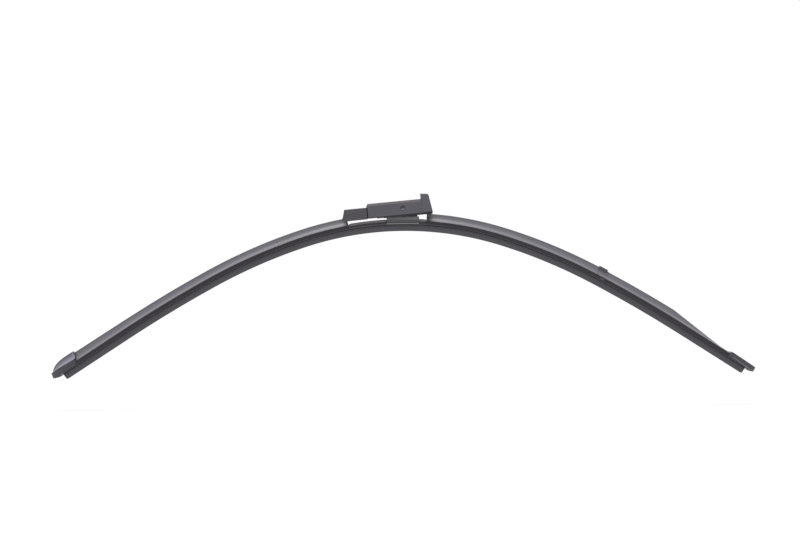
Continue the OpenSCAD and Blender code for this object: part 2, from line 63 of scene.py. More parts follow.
# %% [markdown]
# ## The bent rails
# A flat blade gets its arch from two spring steel strips, rolled to a curve that presses the rubber evenly on
# the glass. A spline could follow it, but the real curve is rolled in stretches of one radius each, so it is
# computed here as a chain of arcs. Every long piece of the blade is a profile carried along this one line.

# %% The line of the rails
BENDS = ((281.0, 17.8), (468.0, 10.5), (1124.0, 4.4), (20000.0, 5.0))  # radius in mm, turn in degrees
PIVOT_H = 12.2  # height of the hinge pin above the rails
RAIL_H = 7.0  # height of the rails above the wiping edge
HALF_LEN = 325.0  # half the length of the rubber


def rail_line(station):
    """x, z and tilt of the rails at signed lengths from below the pin, for a whole array of them.

    Each arc starts where the last one ended, with the same tangent, so its centre lies one radius down the
    joint's normal. A point is the centre plus the radius times (sin tilt, cos tilt), and the tilt grows by
    length over radius. The left half is the right half with x and tilt turned round."""
    s = np.abs(np.asarray(station, float))
    side = np.where(np.asarray(station) < 0, -1.0, 1.0)
    x, z, tilt = np.zeros_like(s), np.zeros_like(s), np.zeros_like(s)
    start, turned, joint = 0.0, 0.0, np.array([0.0, -PIVOT_H])
    for radius, degrees in BENDS:
        centre = joint - radius * np.array([math.sin(turned), math.cos(turned)])
        on = s >= start
        tilt = np.where(on, turned + (s - start) / radius, tilt)
        x = np.where(on, centre[0] + radius * np.sin(tilt), x)
        z = np.where(on, centre[1] + radius * np.cos(tilt), z)
        start += radius * math.radians(degrees)
        turned += math.radians(degrees)
        joint = centre + radius * np.array([math.sin(turned), math.cos(turned)])
    return side * x, z, side * tilt


print("rail ends, mm:", [round(float(v), 2) for v in rail_line(HALF_LEN)[0:2]])

# %% [markdown]
# ## From numbers to a mesh
# An extruded strip is the same profile repeated along a line. With numpy the whole grid of points is one sum
# of arrays: no loop visits a vertex. The grid then becomes quads, with one polygon closing each end.


# %% Grid, mesh and object
def place(station, y, height):
    """Points at these stations, sideways distances and heights over the wiping edge.

    A point is the rail's point, plus its height over the rails along the rails' normal (sin tilt, cos tilt)."""
    station, y, height = np.broadcast_arrays(station, y, height)
    x, z, tilt = rail_line(station)
    up = height - RAIL_H
    return np.stack([x + up * np.sin(tilt), y, z + up * np.cos(tilt)], axis=-1)


def carry(profile, station):
    """Grid of points of a profile carried along the rails: row i is a station, column j a profile point.

    One profile of (y, height) serves every station, or there is one for each. A station may also be
    given for each point, which slants or rounds an end."""
    profile = np.broadcast_to(profile, (len(station), *np.shape(profile)[-2:]))
    station = np.asarray(station, float)
    return place(station if station.ndim == 2 else station[:, None], profile[..., 0], profile[..., 1])


def lengths(points):
    """Running length along the last but one axis of an array of points, starting at nought."""
    steps = np.linalg.norm(np.diff(points, axis=-2), axis=-1)
    zero = np.zeros(steps.shape[:-1] + (1,))
    return np.concatenate([zero, np.cumsum(steps, axis=-1)], axis=-1)


def closed_grid(grid, tags=0, tone=0.0):
    """Vertices, faces, UV corners, material numbers and tones of a grid whose rows are closed rings.

    Face (i, j) joins points j and j + 1 of rings i and i + 1. The first and last rings become the end
    faces. If the signed volume comes out negative, every face is turned round. U is the length along
    the piece and V the length round it, in metres, so that a pattern keeps its real size. A tag is the
    number of a face's material, given for each column or for each face. A tone is painted light and
    shade, from 0 for dark to 1 for light, given for each column or for each point."""
    m, n, _ = grid.shape
    i, j = np.meshgrid(np.arange(m - 1), np.arange(n), indexing="ij")
    k = (j + 1) % n
    quads = np.stack([i * n + j, i * n + k, (i + 1) * n + k, (i + 1) * n + j], axis=-1).reshape(-1, 4)
    u = np.broadcast_to(lengths(grid[:, :1].swapaxes(0, 1))[0][:, None], (m, n)) * MM
    v = np.broadcast_to(lengths(np.concatenate([grid[:1], grid[:1, :1]], axis=1))[0], (m, n + 1)) * MM
    corners = np.stack([np.stack([u[i + di, j], v[i, j + dj]], -1) for di, dj in ((0, 0), (0, 1), (1, 1), (1, 0))],
                       axis=-2).reshape(-1, 4, 2)
    p = grid.reshape(-1, 3)
    a, b, c, d = (p[quads[:, corner]] for corner in range(4))
    volume = (np.einsum("ij,ij->i", a, np.cross(b, c)) + np.einsum("ij,ij->i", a, np.cross(c, d))).sum()
    if volume < 0:
        quads, corners = quads[:, ::-1], corners[:, ::-1]
    first, last = np.arange(n), np.arange(n) + (m - 1) * n
    ends = [first if volume < 0 else first[::-1], last[::-1] if volume < 0 else last]
    faces = quads.tolist() + [e.tolist() for e in ends]
    uv = np.concatenate([corners.reshape(-1, 2)] + [p[e][:, [0, 1]] * MM for e in ends])
    marks = np.broadcast_to(tags, (m - 1, n)).ravel()
    return p, faces, uv, np.concatenate([marks, [0, 0]]), np.broadcast_to(tone, (m, n)).ravel()


def shown(name, mesh, materials, sharp):
    """The mesh as an object in the scene, shaded smooth except at edges that turn by more than sharp degrees."""
    for material in materials:
        mesh.materials.append(material)
    mesh.shade_smooth()
    mesh.set_sharp_from_angle(angle=math.radians(sharp))
    obj = bpy.data.objects.new(name, mesh)
    bpy.context.scene.collection.objects.link(obj)
    return obj


def piece(name, parts, materials):
    """One object from one or more closed grids, each given as closed_grid returns it."""
    points, faces, uv, marks, tones, base = [], [], [], [], [], 0
    for p, f, corner, mark, tone in parts:
        points.append(p * MM)
        faces += [[v + base for v in face] for face in f]
        uv.append(corner)
        marks.append(mark)
        tones.append(tone)
        base += len(p)
    mesh = bpy.data.meshes.new(name)
    mesh.from_pydata(np.concatenate(points).tolist(), [], faces)
    layer = mesh.uv_layers.new(name="along")
    layer.data.foreach_set("uv", np.concatenate(uv).astype(np.float32).ravel())
    shade = mesh.attributes.new("tone", "FLOAT", "POINT")
    shade.data.foreach_set("value", np.concatenate(tones).astype(np.float32))
    mesh.polygons.foreach_set("material_index", np.concatenate(marks).astype(np.int32))
    obj = shown(name, mesh, materials, 35)
    mesh.validate()
    print(f"{name}: {len(mesh.vertices)} points, {len(mesh.polygons)} faces")
    return obj


def dress(obj, body, slot, *nodes):
    """The object stands for these CAD nodes and moves with their body. slot is not used."""
    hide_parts(*nodes)
    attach(obj, body)


# %% [markdown]
# ## Colours and one node helper
# Colours are given as sRGB hex values, as on a screen. A shader wants linear light, so one function
# turns them. The helper adds one node with its settings and links, which keeps each material to a few lines.


# %% Colour and node helpers
def linear(code):
    """Linear RGBA of a hex colour: each channel c is c / 12.92 below 0.04045, else ((c + 0.055) / 1.055) ** 2.4."""
    c = np.array([int(code[i:i + 2], 16) for i in (1, 3, 5)]) / 255
    c = np.where(c <= 0.04045, c / 12.92, ((c + 0.055) / 1.055) ** 2.4)
    return (*c.tolist(), 1.0)


def add(tree, kind, links=(), **settings):
    """A node of this kind. A link is (socket, other node's output), and a setting is a socket or a property."""
    node = tree.nodes.new(kind)
    for key, value in settings.items():
        if key in node.inputs:
            node.inputs[key].default_value = value
        else:
            setattr(node, key, value)
    for socket, source in links:
        tree.links.new(source, node.inputs[socket])
    return node


def finish(name, roughness, metallic=0.0):
    """A material with its Principled shader, ready for a colour and a surface. Returns both.

    Rubber and these plastics all have an IOR of about 1.5. A metal keeps the shader's own."""
    material = bpy.data.materials.new(name)
    material.use_nodes = True
    shader = material.node_tree.nodes["Principled BSDF"]
    shader.inputs["Roughness"].default_value = roughness
    shader.inputs["Metallic"].default_value = metallic
    if not metallic:
        shader.inputs["IOR"].default_value = 1.5
    return material, shader


def tinted(tree, shader, factor, dark, light):
    """Colour between dark and light as factor goes from 0 to 1."""
    ramp = add(tree, "ShaderNodeValToRGB", [("Fac", factor)])
    ramp.color_ramp.elements[0].color = linear(dark)
    ramp.color_ramp.elements[1].color = linear(light)
    tree.links.new(ramp.outputs["Color"], shader.inputs["Base Color"])


def with_tone(tree, factor, share):
    """The factor mixed with the tone of painted light and shade that is stored at the piece's points, which takes
    this share of it.
    """
    if not share:
        return factor
    tone = add(tree, "ShaderNodeAttribute", attribute_name="tone")
    return add(tree, "ShaderNodeMix", [("A", factor), ("B", tone.outputs["Fac"])], Factor=share).outputs["Result"]


def noise(tree, scale, detail):
    """A noise in the object's own coordinates."""
    coords = add(tree, "ShaderNodeTexCoord")
    return add(tree, "ShaderNodeTexNoise", [("Vector", coords.outputs["Object"])], Scale=scale, Detail=detail)


def surface(tree, shader, fine, slow_scale, blend, dark, light, depth_mm, toned):
    """Colour from a fine noise blended with a slow cloudy one, and a bump depth_mm deep from the fine one."""
    slow = noise(tree, slow_scale, 3.0)
    both = add(tree, "ShaderNodeMix", [("A", fine.outputs["Fac"]), ("B", slow.outputs["Fac"])], Factor=blend)
    tinted(tree, shader, with_tone(tree, both.outputs["Result"], toned), dark, light)
    bump = add(tree, "ShaderNodeBump", [("Height", fine.outputs["Fac"])], Strength=0.5, Distance=depth_mm * MM)
    tree.links.new(bump.outputs["Normal"], shader.inputs["Normal"])


# %% [markdown]
# ## Extruded rubber and elastomer
# The wiping rubber and the spoiler are both pushed through a die, so all that varies does so along their
# length: faint drawn lines that run from end to end. Their noise is stretched forty times along U, and along
# V the lines are 0.3 or 0.45 mm apart. The rubber has a dry coated lip, the spoiler a satin skin.


# %% Materials of the extruded pieces
def extruded(name, dark, light, roughness, line_mm, depth_mm, toned=0.0):
    """An extruded strip: drawn lines line_mm apart, and slow clouds."""
    material, shader = finish(name, roughness)
    tree = material.node_tree
    uv = add(tree, "ShaderNodeUVMap", uv_map="along")
    drawn = add(tree, "ShaderNodeMapping", [("Vector", uv.outputs["UV"])],
                Scale=(0.025 / (line_mm * MM), 1 / (line_mm * MM), 1))
    lines = add(tree, "ShaderNodeTexNoise", [("Vector", drawn.outputs["Vector"])], Scale=1.0, Detail=2.0)
    surface(tree, shader, lines, 45.0, 0.55, dark, light, depth_mm, toned)
    return material


# The lip's slide coat: a dry, even grey
wiping_rubber = extruded("natural_rubber_coated", "#434147", "#555359", 0.6, 0.3, 0.03)
# Bare rubber: darker, and darkest on the shoulder, where its tone paints shade
web_rubber = extruded("natural_rubber_bare", "#36343a", "#57555b", 0.6, 0.3, 0.03, toned=0.8)
# The backing's upper flange: pale, a painted highlight with a faint shine
flange_painted_highlight = extruded("natural_rubber_painted_highlight", "#757277", "#8f8c92", 0.5, 0.3, 0.03)
# The spoiler as it left a polished die: satin, with painted light from its tone, light on the foot and dark at the
# crest
spoiler_skin = extruded("elastomer_satin_extruded", "#4c4a51", "#8b8992", 0.42, 0.45, 0.03, toned=0.7)
# The hard claws under the toes: a dark strip, made nearly black as painted shade under the toes
carrier_and_shade = extruded("hard_carrier_and_painted_shade", "#17121b", "#231e27", 0.5, 0.45, 0.03)
print("extruded materials:", wiping_rubber.name, spoiler_skin.name, carrier_and_shade.name)

# %% [markdown]
# ## Moulded plastics and steel
# The caps, saddle and adapter are injection moulded. Their moulds are spark eroded, which leaves a fine even
# grain, so a small bumpy noise of 0.35 to 0.5 mm stands for it, drawn a little coarse so that it shows.
# Ledges and beads carry a painted highlight, and insides, undersides and the caps' bodies painted shade.


# %% Materials of the moulded pieces and the steel
def moulded(name, dark, light, roughness, grain_mm, depth_mm, toned=0.0):
    """A moulded plastic: eroded grain of grain_mm, and slow flow marks."""
    material, shader = finish(name, roughness)
    tree = material.node_tree
    surface(tree, shader, noise(tree, 1 / (grain_mm * MM), 2.0), 60.0, 0.7, dark, light, depth_mm, toned)
    return material


# The adapter, from an eroded mould: an even blue black without a highlight
adapter_plastic = moulded("acetal_eroded_blue_black", "#4a4951", "#5c5b64", 0.45, 0.35, 0.04)
# Its bevel: browner and duller than the rest of the box
rim_plastic = moulded("acetal_brown_rim", "#464147", "#524c52", 0.6, 0.35, 0.02)
# Its inside and underside: dark, painted shade
painted_shade_plastic = moulded("acetal_painted_shade", "#252429", "#323136", 0.7, 0.35, 0.03)
# The nose: the same kind of plastic, in a slightly warmer black
nose_plastic = moulded("acetal_eroded_black", "#48454b", "#5a575d", 0.5, 0.35, 0.04)
# The saddle, nylon with glass fibre: grey, with painted light from its tone, dark low on its flank and light above
saddle_plastic = moulded("nylon_glass_filled", "#424145", "#8a898d", 0.5, 0.35, 0.05, toned=0.85)
# Ledges and beads that stand out: a painted highlight, the lightest line of their part
ledge_painted_highlight = moulded("nylon_painted_highlight", "#717073", "#858487", 0.45, 0.35, 0.03)
# The heel cap's crown: smooth, with a soft sheen on its hollows painted by its tone
crown_plastic = moulded("abs_moulded_satin", "#32303a", "#9694a1", 0.38, 0.5, 0.02, toned=0.88)
# The caps' bodies: the crown's plastic, painted dark as shade, and plain
cap_painted_shade = moulded("abs_moulded_painted_shade", "#38373d", "#46454c", 0.45, 0.5, 0.02)
# The rail clip: black, a little lighter than the caps
clip_plastic = moulded("acetal_moulded_black", "#434247", "#55545a", 0.45, 0.4, 0.02)
# The rails: rolled steel with its dark scale left on, so the metal shines only dimly
spring_steel, steel_shader = finish("spring_steel_blackened", 0.38, metallic=1.0)
tree = spring_steel.node_tree
tinted(tree, steel_shader, noise(tree, 250.0, 4.0).outputs["Fac"], "#39383a", "#515051")
# The pin: a phosphate layer, which is dull and no metal to the eye, with fine turned rings, and its dish painted
# dark above and light below
pin_steel, pin_shader = finish("steel_phosphated_turned", 0.5)
tree = pin_steel.node_tree
coords = add(tree, "ShaderNodeTexCoord")
rings = add(tree, "ShaderNodeTexWave", [("Vector", coords.outputs["Object"])], wave_type="RINGS",
            rings_direction="Y", Scale=1200.0, Distortion=1.0)
tinted(tree, pin_shader, with_tone(tree, rings.outputs["Fac"], 0.85), "#3a3844", "#b2b0b8")
print("moulded materials:", adapter_plastic.name, crown_plastic.name, "steel:", spring_steel.name, pin_steel.name)

# %% [markdown]
# ## Profiles with soft corners
# A die never cuts a perfectly sharp corner, and the thin line of light on a rounded edge is what makes a small
# part look real. Each corner of a profile is swapped for a short curve.


# %% Profile helpers
def soft(corners, radius, steps=4):
    """A closed profile with each corner rounded.

    The curve leaves a corner C at the points A and B, radius before and after it (or half the side, if that
    is less), and is (1 - t)^2 A + 2 t (1 - t) C + t^2 B. A radius may be given for each corner."""
    c = np.asarray(corners, float)
    before, after = np.roll(c, 1, 0) - c, np.roll(c, -1, 0) - c
    lb, la = np.linalg.norm(before, axis=1, keepdims=True), np.linalg.norm(after, axis=1, keepdims=True)
    r = np.broadcast_to(np.asarray(radius, float), len(c))[:, None]
    a = c + before / lb * np.minimum(r, lb * 0.49)
    b = c + after / la * np.minimum(r, la * 0.49)
    t = np.linspace(0, 1, steps + 1)[None, :, None]
    return ((1 - t) ** 2 * a[:, None] + 2 * t * (1 - t) * c[:, None] + t ** 2 * b[:, None]).reshape(-1, 2)


def shrunk(profile, by):
    """The profile with each point moved inwards by this much, along the mean of its two sides' normals."""
    step = np.roll(profile, -1, 0) - profile
    normal = np.stack([step[:, 1], -step[:, 0]], -1) / np.maximum(np.linalg.norm(step, axis=1, keepdims=True), 1e-9)
    mean = normal + np.roll(normal, 1, 0)
    mean /= np.maximum(np.linalg.norm(mean, axis=1, keepdims=True), 1e-9)
    area = np.sum(profile[:, 0] * np.roll(profile[:, 1], -1) - np.roll(profile[:, 0], -1) * profile[:, 1])
    return profile - math.copysign(by, area) * mean


RING_STEP, SLANT_RUN = 2.0, 8.0  # millimetres between rings, and over which a slanted end fades


def strip(profile, start, end, edge=0.12, tags=0, shape=None, slant=None, tone=0.0):
    """A profile carried from start to end along the rails, its end edges eased by a tiny chamfer.

    shape, if given, changes the heights at each station, and tone may be a function of the station. slant,
    if given, moves the last stations by an amount for each profile point, fading as the square."""
    between = np.linspace(start, end, max(2, int(abs(end - start) / RING_STEP) + 1))[1:-1]
    ease = math.copysign(edge, end - start)
    station = np.concatenate([[start, start + ease], between, [end - ease, end]])
    rings = np.broadcast_to(profile, (len(station), *profile.shape)).copy()
    rings[0] = rings[-1] = shrunk(profile, edge)
    if shape is not None:
        rings[..., 1] = shape(rings[..., 1], station[:, None])
    if callable(tone):
        tone = tone(station[:, None])
    if slant is not None:
        fade = np.clip(1 - np.abs(end - station) / SLANT_RUN, 0, 1)[:, None] ** 2
        station = station[:, None] + fade * slant
    return closed_grid(carry(rings, station), tags, tone)


def straight_grid(outline, start, end, edge):
    """Grid of a straight bar along X with this (y, z) outline, its end edges eased over 0.3 mm."""
    x = np.array([start, start + 0.3, end - 0.3, end])
    rings = np.stack([shrunk(outline, d) for d in (edge, 0, 0, edge)])
    return np.stack([np.broadcast_to(x[:, None], rings.shape[:2]), rings[..., 0], rings[..., 1]], -1)


# %% [markdown]
# ## The wiping rubber
# The rubber's section has a tapering lip, a shoulder that stops the lip folding flat, a thin web it tips over
# on, and a backing with a groove on each side for the rails. Only the lip has the grey sliding coat, and the
# backing's upper flange is painted pale as a highlight, so each gets a rubber of its own. The bare rubber's
# tone paints shade on the shoulder, which lies darker than the backing.
# Between the spoilers nothing presses on the flange, so it stands a little higher there. The lip is 0.4 mm
# longer than the solid's, except at its very ends.

# %% Wiping rubber
half_section = [(0.35, 0.0), (0.6, 3.2), (1.7, 4.1), (1.7, 4.8), (0.4, 4.8), (0.4, 5.2), (2.9, 5.2), (2.9, 6.5),
                (0.95, 6.5), (0.95, 7.5), (2.9, 7.5), (2.9, 8.7), (2.4, 9.2)]
rounding = [0.08, 0.25, 0.15, 0.12, 0.1, 0.12, 0.15, 0.1, 0.05, 0.05, 0.1, 0.2, 0.25]
STEPS = 4
section = half_section + [(-y, h) for y, h in reversed(half_section)]
rubber_profile = soft(section, rounding + rounding[::-1], STEPS)
corner = np.arange(len(section)).repeat(STEPS + 1)
heights = np.array([h for _, h in section])[corner]
middle = (heights + np.roll(heights, -1)) / 2  # height of each face round the section
LIP_END, WEB_END = 3.15, 7.4  # heights at which one rubber gives way to the next
rubber_tags = (middle > LIP_END).astype(int) + (middle > WEB_END)
shoulder_painted_shade = np.where(heights > 5, 0.75, 0.2)  # painted shade: the shoulder lies darker than the backing
BARE_FROM, BARE_TO = -46.5, 20.4  # stations between the spoilers
LIP_MORE, LIP_CORNER = 0.4, 1.7  # how much longer the lip is, and over what length that fades at its ends


def relaxed(height, station):
    """Lifts the flange between the spoilers and lengthens the lip.

    The lift is 0.7 mm on the heel's side and 0.9 mm on the tip's, in full from 9 mm up and fading to 8 mm."""
    bare = (station > BARE_FROM) & (station < BARE_TO)
    lift = bare * np.interp(station, [-13, 13], [0.7, 0.9]) * np.clip(height - 8, 0, 1)
    drop = LIP_MORE * np.clip((HALF_LEN - 0.15 - np.abs(station)) / LIP_CORNER, 0, 1) * (height < 1)
    return height + lift - drop


rubber_run = strip(rubber_profile, -HALF_LEN, HALF_LEN, tags=rubber_tags, shape=relaxed, tone=shoulder_painted_shade)
rubber = piece("wiping_rubber_strip", [rubber_run], [wiping_rubber, web_rubber, flange_painted_highlight])
dress(rubber, "blade", "wiper_rubber", "wiper_rubber")

# %% [markdown]
# ## The spring rails
# Each rail is a flat strip of spring steel with rolled, slightly round edges. Only their edges show, between
# the adapter's saddle and the first spoiler on each side.

# %% Spring rails
for side, node in ((-1, "rail_front"), (1, "rail_rear")):
    near, far = side * 1.0, side * 4.35
    rail_profile = soft([(near, 6.55), (far, 6.55), (far, 7.45), (near, 7.45)], 0.3, 4)
    rail = piece(node + "_strip", [strip(rail_profile, -HALF_LEN - 3, HALF_LEN + 3)], [spring_steel])
    dress(rail, "blade", "spring_steel", node)

# %% [markdown]
# ## The spoiler
# The wind presses the blade on the glass through a spoiler with two hollow faces. Its die was cut with round
# cutters, so each hollow is a true arc that runs tangent into the rounded crest. The arc's centre is found
# from two distances: one radius from the toe, and the arc's radius plus the crest's from the crest's centre.

# %% Spoiler profile
CREST = np.array([1.1, 14.4])  # centre of the crest, as y and height
CREST_R, FRONT_R, REAR_R = 0.75, 7.0, 10.0  # radius of the crest and of the two hollows
TOE_TOP, TOE_LOW, CLAW_LOW = 8.6, 8.2, 5.9  # heights
FOOT, CLAW = 5.9, 5.2  # half widths


def scoop(toe, crest, radius, crest_r, side):
    """Points of a hollow face from its toe to the crest, and the angle at which it meets the crest."""
    d = crest - toe
    gap = np.linalg.norm(d)
    reach = (radius ** 2 - (radius + crest_r) ** 2 + gap ** 2) / (2 * gap)
    off = math.sqrt(radius ** 2 - reach ** 2)
    centre = toe + reach * d / gap + side * off * np.array([-d[1], d[0]]) / gap
    a, b = (math.atan2(*(p - centre)[::-1]) for p in (toe, crest))
    if abs(b - a) > math.pi:
        b += math.copysign(2 * math.pi, a - b)
    t = np.linspace(a, b, 22)
    arc = centre + radius * np.stack([np.cos(t), np.sin(t)], -1)
    return arc, math.atan2(*(centre - crest)[::-1])


def hollow_faces(half, toe_h, front_r, rear_r, crest_r, crest_h):
    """The front hollow, the round crest and the rear hollow as one row of points, from toe to toe."""
    crest = np.array([CREST[0], crest_h])
    front, front_touch = scoop(np.array([-half, toe_h]), crest, front_r, crest_r, 1)
    rear, rear_touch = scoop(np.array([half, toe_h]), crest, rear_r, crest_r, -1)
    t = np.linspace(front_touch, rear_touch - (2 * math.pi if rear_touch > front_touch else 0), 14)[1:-1]
    return np.concatenate([front, crest + crest_r * np.stack([np.cos(t), np.sin(t)], -1), rear[::-1]])


outside = np.concatenate([
    soft([(-CLAW, CLAW_LOW), (-FOOT, TOE_LOW), (-FOOT, TOE_TOP), (0, TOE_TOP), (0, CLAW_LOW)], 0.16, 3)[:12],
    hollow_faces(FOOT, TOE_TOP, FRONT_R, REAR_R, CREST_R, CREST[1])[1:-1],
    soft([(0, CLAW_LOW), (0, TOE_TOP), (FOOT, TOE_TOP), (FOOT, TOE_LOW), (CLAW, CLAW_LOW)], 0.16, 3)[8:],
])
inside = np.array([(3.0, 5.9), (3.0, 6.5), (4.45, 6.5), (4.45, 7.5), (3.0, 7.5), (3.0, 9.25)])
inside = np.concatenate([inside, inside[::-1] * [-1, 1]])
spoiler_profile = np.concatenate([outside, inside])
n_out = len(outside)
# The claws, and the toes' edge faces below their top, take the carrier's painted shade
claw_or_shaded_toe = (np.arange(len(spoiler_profile)) >= n_out - 1) | (spoiler_profile[:, 1] < TOE_TOP - 0.02)
skin_tags = claw_or_shaded_toe.astype(int)
# Painted light: light on the foot of the hollows, dark at the crest
skin_painted_light = np.interp(spoiler_profile[:, 1], [8.6, 9.3, 10.3, 10.8, 11.9, 12.8, 13.8, 14.4],
                      [0.35, 0.65, 0.6, 0.24, 0.3, 0.4, 0.36, 0.05])
# painted shade on the upper hollow, which the skin takes beside the adapter
upper_painted_shade = np.interp(spoiler_profile[:, 1], [9.3, 10.3, 11.9, 12.8], [0.0, 0.3, 0.22, 0.0])


def arch_painted_light(station):
    """The skin's painted light, with painted shade added on the hollow beside the adapter, where the flat top of the
    arch gets more light.
    """
    near = np.interp(station, [-150, -95, 0, 50, 90], [0, 1, 0.7, 0.7, 0])
    return np.maximum(skin_painted_light - near * upper_painted_shade, 0)


print("spoiler profile:", len(spoiler_profile), "points, crest top at", round(float(outside[:, 1].max()), 2), "mm")

# %% [markdown]
# The spoiler comes in three lengths. The outer one is cut down in a straight line towards the tip, which is a
# limit on the height that falls along the way: every point above it is brought down to it. The ends that meet
# the heel cap and the rail clip are cut on the slant, so their stations move with the height. The heel cap
# holds the left length up a little, so its crest rises towards the cap.

# %% Spoiler lengths
CAP_START, SEAM, CLIP = 306.4, 0.3, (173.2, 182.6)
INNER_ENDS = (-47.0, 20.1)  # stations at which the spoiler stops, either side of the adapter
RISE_FROM, RISE_RUN, RISE = 246, 60, 0.4  # the crest rises by 0.4 mm over the 60 mm before the heel cap
TAPER_FROM, TAPER_TOP, TAPER_RATE, TAPER_LOW = 246.8, 14.8, 0.109, 9.4  # station, height, fall each mm, last height
SLANT = {-1: 0.5, 1: 0.32}  # millimetres along the blade for each one down, at the heel cap and at the clip


def slanted(profile, side):
    """Shift of each profile point along the blade, nought at the crest and outwards below it."""
    return side * SLANT[side] * (CREST[1] + CREST_R - profile[:, 1])


def heightened(height, station):
    """Raises the crest towards the heel cap, in full at the crest and not at all at the toes."""
    along = np.clip((-station - RISE_FROM) / RISE_RUN, 0, 1)
    share = along * np.clip((height - TOE_TOP) / (CREST[1] - TOE_TOP), 0, 1)
    return height + RISE * share


def tapered(height, station):
    """Heights held under a limit that falls from the full crest by TAPER_RATE for each millimetre."""
    return np.minimum(height, np.maximum(TAPER_TOP - TAPER_RATE * np.maximum(station - TAPER_FROM, 0), TAPER_LOW))


spoiler_runs = (("spoiler_left", INNER_ENDS[0], -(CAP_START - 0.6), heightened, -1),
                ("spoiler_middle", INNER_ENDS[1], CLIP[0] - 0.1, None, 1),
                ("spoiler_tapered", CLIP[1] + 0.05, CAP_START - SEAM, tapered, None))
for node, start, end, shape, side in spoiler_runs:
    slant = None if side is None else slanted(spoiler_profile, side)
    run = strip(spoiler_profile, start, end, tags=skin_tags, shape=shape, slant=slant, tone=arch_painted_light)
    dress(piece(node + "_skin", [run], [spoiler_skin, carrier_and_shade]), "blade", "spoiler", node)

# %% [markdown]
# ## The rail clip
# A moulded clip keeps the rails at their distance and closes the joint between two lengths of spoiler. It
# repeats the spoiler's section, carries a block on the crest and has a catch under each toe. A dark collar
# reaches across the joint, so that no light shines through it.

# %% Rail clip
BLOCK = (173.0, 181.1, 13.5, 16.3)  # from, to, underside, top


def bar(start, end, corners, radius):
    """A short bar along the rails, with this (y, height) outline and its corners rounded."""
    return strip(soft(corners, radius, 4), start, end, edge=0.3)


clip_front = slanted(spoiler_profile, 1)
clip_run = strip(spoiler_profile, CLIP[1], CLIP[0] + 0.15, edge=0.05, tags=skin_tags, slant=clip_front,
                 tone=skin_painted_light)
collar = strip(shrunk(spoiler_profile[:n_out], 0.2), CLIP[1] - 3, CLIP[0] - 0.05, slant=clip_front[:n_out])
low, top = BLOCK[2:]
block = bar(*BLOCK[:2], [(-0.4, low), (2.5, low), (2.5, top), (-0.7, top)], [0.1, 0.1, 0.6, 0.6])
catches = [bar(CLIP[1] - 5.0, CLIP[1] - 0.8, [(y, 6.3), (y + d, 6.5), (y + d, 7.3), (y, 7.6)], 0.2)
           for y, d in ((-5.4, -0.4), (5.4, 0.4))]
for part in (collar, block, *catches):
    part[3][:] = 2  # the number of clip_plastic
clip = piece("rail_clip_shell", [clip_run, collar, block, *catches], [spoiler_skin, carrier_and_shade, clip_plastic])
dress(clip, "blade", "clip", "rail_clip")

# %% [markdown]
# ## The heel cap's crown
# The heel cap ends the blade on its low side. Its crown goes on with the spoiler's hollow faces and then
# rounds off in side view and in plan, both as quarters of an ellipse. It is a loft: one section, whose width
# and height are scaled along the way. The edge at the joint is a rolled rim. Its colour carries painted light:
# highlights on the lip along the foot and on the line behind the rim, shade on the rim and towards the crest.
# A sleeve inside the crown, dark with painted shade, reaches over the spoiler's end, a tenth taller than the
# spoiler, and its edge leans as the joint does.

# %% Crown of the heel cap
CROWN_LEN, CROWN_FLAT = 25.6, 10.0  # length, and where the flat top ends
CROWN_TOP, CROWN_END, CROWN_LOW = 17.2, 9.7, 10.45  # heights of the top, the far end and the lower edge
CROWN_HALF, CROWN_CREST_R = 6.2, 1.2
CROWN_RISE = 0.04  # the crown's lower edge climbs this much for each millimetre outwards
CROWN_FALL = 16.0  # over what length the top comes down once its flat part ends
PLAN_FLAT, PLAN_END = 10.6, 25.9  # where the plan begins to round and where it would close
LEAD, RIM, RIM_LEN = 0.6, 0.7, 1.2  # start after the joint, depth of the rolled rim, and its length
crown_section = np.concatenate([
    [(-5.5, CROWN_LOW - 0.3), (-6.1, CROWN_LOW + 0.06), (-CROWN_HALF, CROWN_LOW + 0.25)],
    hollow_faces(CROWN_HALF, CROWN_LOW + 0.5, 6.5, 9.0, CROWN_CREST_R, CROWN_TOP - CROWN_CREST_R),
    [(CROWN_HALF, CROWN_LOW + 0.25), (6.1, CROWN_LOW + 0.06), (5.5, CROWN_LOW - 0.3)],
])


def quarter(u, flat, full):
    """1 up to flat, then the height of a quarter ellipse that reaches 0 at full."""
    return np.sqrt(np.clip(1 - (np.maximum(u - flat, 0) / (full - flat)) ** 2, 0, 1))


def crown(section, rows=44):
    """Grid of the crown, and the distance of each row from the cap's start, closer together at the far end.

    The width is the section's times a quarter ellipse. The height over the crown's lower edge is the
    section's times what is left of the falling top line. The first rows form a rolled rim: they are inset
    by RIM (1 - sin a) and lie RIM_LEN (1 - cos a) along, as a goes to a right angle. The inner end leans
    by a quarter of the distance below the top, which fades as the square over 10 mm."""
    a = np.linspace(0, math.pi / 2, 7)
    after_rim = LEAD + RIM_LEN
    u = np.concatenate([LEAD + RIM_LEN * (1 - np.cos(a)),
                        after_rim + (CROWN_LEN - after_rim) * np.sin(np.linspace(0, math.pi / 2, rows)[1:])])
    inset = np.concatenate([RIM * (1 - np.sin(a)), np.zeros(rows - 1)])
    rings = np.stack([shrunk(section, d) if d > 1e-6 else section for d in inset])
    fall = CROWN_END + (CROWN_TOP - CROWN_END) * quarter(u, CROWN_FLAT, CROWN_FLAT + CROWN_FALL)
    base = CROWN_LOW + CROWN_RISE * u
    share = np.clip((fall - base) / (CROWN_TOP - CROWN_LOW), 0.01, 1)[:, None]
    y = rings[..., 0] * quarter(u, PLAN_FLAT, PLAN_END)[:, None]
    h = base[:, None] + (rings[..., 1] - CROWN_LOW) * share
    fade = np.clip(1 - (u - LEAD) / 10, 0, 1)[:, None] ** 2
    slope = 0.25 * (CROWN_TOP - rings[..., 1]) * fade
    return place(-(CAP_START + u[:, None] + slope), y, h), u


